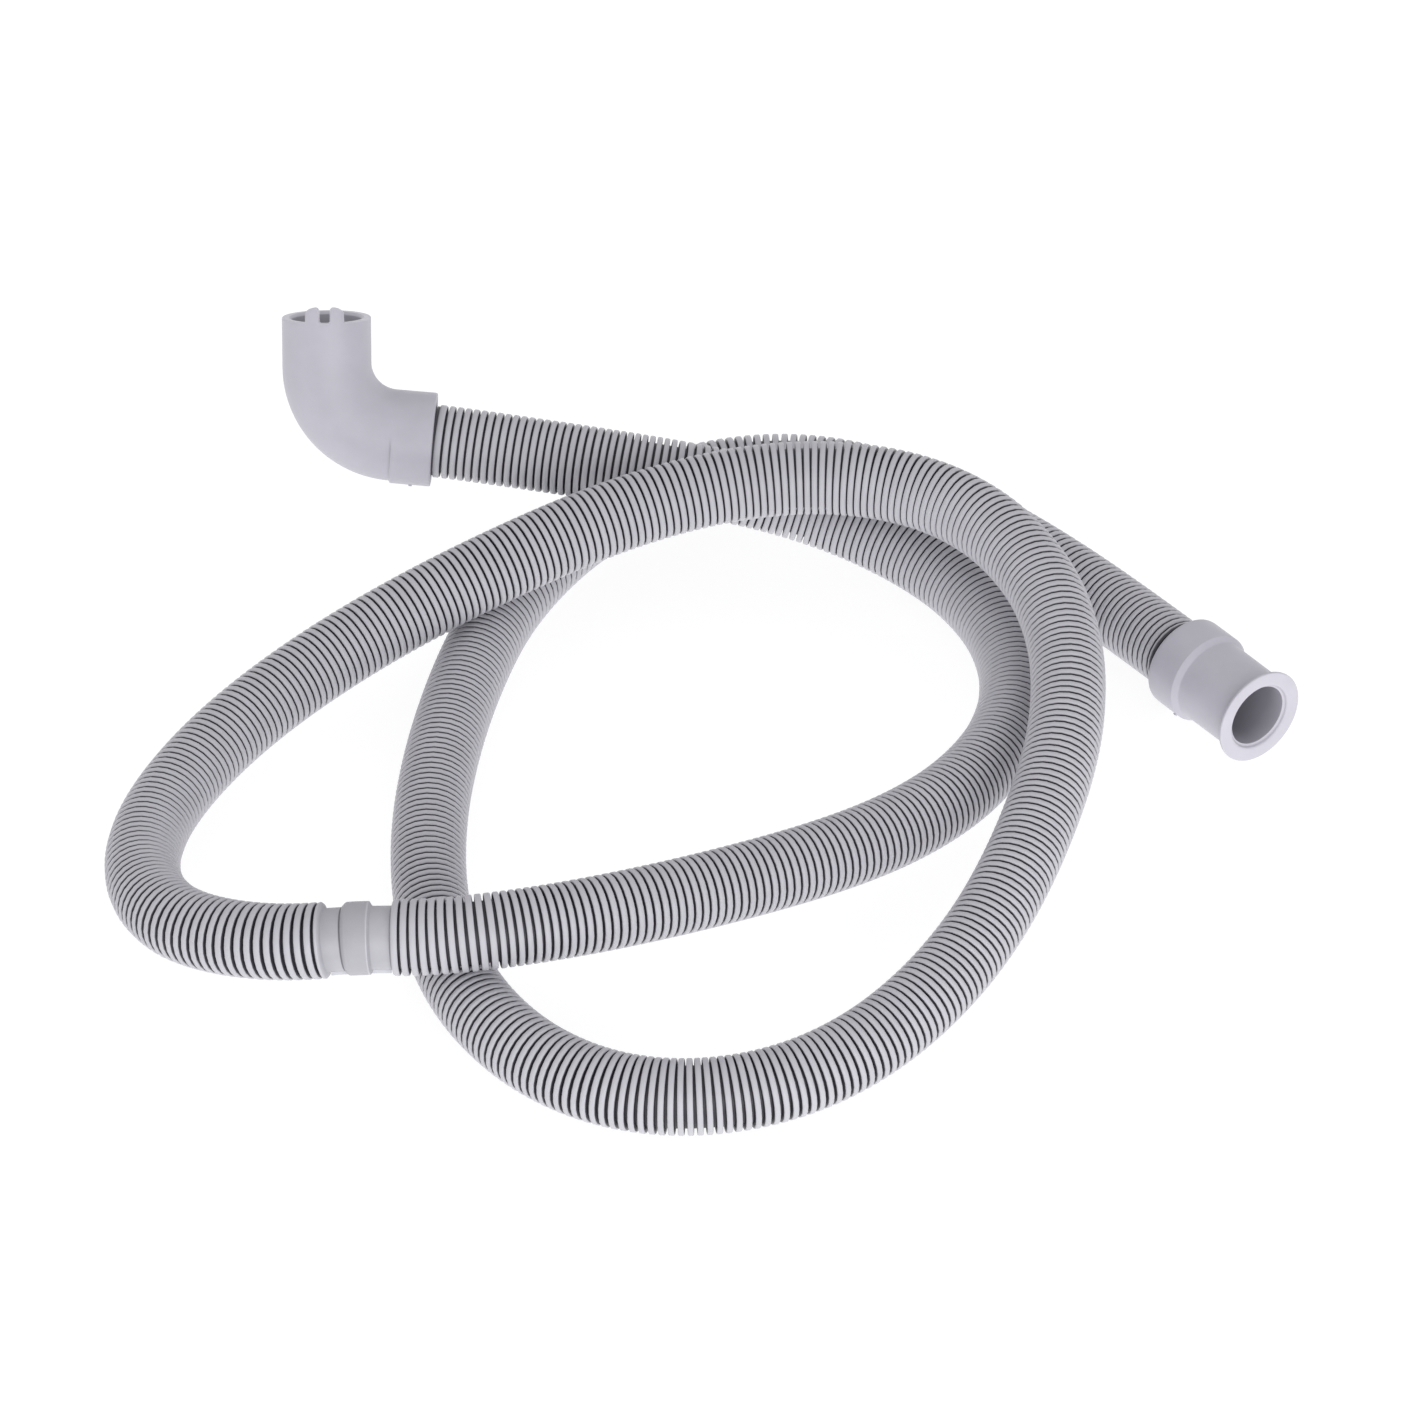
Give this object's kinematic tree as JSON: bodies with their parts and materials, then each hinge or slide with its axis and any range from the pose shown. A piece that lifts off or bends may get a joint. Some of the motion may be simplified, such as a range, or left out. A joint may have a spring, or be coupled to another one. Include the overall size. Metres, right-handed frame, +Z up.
{
  "type": "washing machine drain hose",
  "caption": "Corrugated washing machine drain hose lying in loose loops, with a soft elbow on one end and a flanged straight fitting on the other.",
  "frame": {"origin": "on the floor, under the middle of the hose as it lies", "axes": "+Z up; +X across the loops towards the straight fitting; +Y towards the elbow fitting"},
  "size_m": [0.4114, 0.3649, 0.0952],
  "materials": {
    "hose": "satin",
    "fitting": "satin"
  },
  "bodies": {
    "root": {"corrugated_hose": "hose", "elbow_fitting": "fitting", "straight_fitting": "fitting"}
  },
  "joints": []
}
